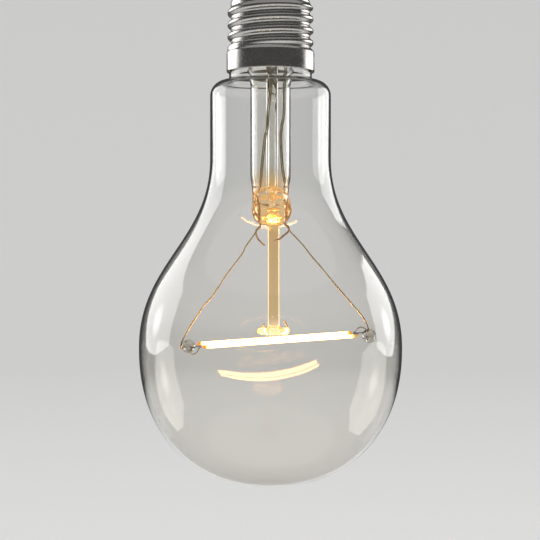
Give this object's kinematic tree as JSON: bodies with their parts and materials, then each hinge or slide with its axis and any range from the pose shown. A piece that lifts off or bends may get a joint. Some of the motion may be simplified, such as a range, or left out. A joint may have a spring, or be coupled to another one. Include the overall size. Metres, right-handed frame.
{
  "type": "led filament bulb",
  "caption": "Clear pear-shaped glass lamp, cap up, with a glass stem and rod inside, a straight glowing filament across the globe and a screw cap.",
  "frame": {"origin": "centre of the flat face of the centre contact, at the top of the screw cap", "axes": "+Z along the lamp's axis, from the globe to the cap, so the lamp hangs towards -Z; +X along the filament, to the right in the picture; -Y faces the picture's camera"},
  "size_m": [0.08, 0.08, 0.1531],
  "materials": {
    "bulb_glass": "gloss",
    "stem_glass": "gloss",
    "bead_glass": "gloss",
    "nickel_wire": "satin",
    "seal_wire": "satin",
    "copper_wire": "satin",
    "tinned_metal": "satin",
    "ceramic_strip": "satin",
    "chip_crystal": "gloss",
    "phosphor": "matte",
    "nickel_plate": "satin",
    "cement": "matte",
    "black_glass": "gloss",
    "contact_metal": "satin",
    "solder": "satin",
    "board_green": "satin",
    "black_moulding": "matte",
    "capacitor_blue": "gloss",
    "resistor_brown": "matte",
    "sleeve_black": "satin"
  },
  "bodies": {
    "root": {"glass_bulb": "bulb_glass", "stem_tube": "stem_glass", "stem_press": "stem_glass", "exhaust_tube": "stem_glass", "support_rod": "stem_glass", "rod_button": "stem_glass", "support_wires": "nickel_wire", "seal_wire_left": "seal_wire", "seal_wire_right": "seal_wire", "lead_wire_left": "nickel_wire", "lead_wire_right": "nickel_wire", "bead_left": "bead_glass", "bead_right": "bead_glass", "pigtail_left": "nickel_wire", "pigtail_right": "nickel_wire", "filament_strip": "ceramic_strip", "filament_tab_left": "tinned_metal", "filament_tab_right": "tinned_metal", "led_chips": "chip_crystal", "phosphor_upper": "phosphor", "phosphor_lower": "phosphor", "inner_wire_left": "copper_wire", "inner_wire_right": "copper_wire", "cap_shell": "nickel_plate", "cap_cement": "cement", "cap_insulator": "black_glass", "centre_contact": "contact_metal", "side_solder": "solder", "live_wire": "copper_wire", "neutral_wire": "copper_wire", "driver_board": "board_green", "bridge_rectifier": "black_moulding", "driver_chip": "black_moulding", "smoothing_capacitor": "capacitor_blue", "fuse_resistor": "resistor_brown", "chip_resistors": "black_moulding", "insulating_sleeve": "sleeve_black"}
  },
  "joints": []
}
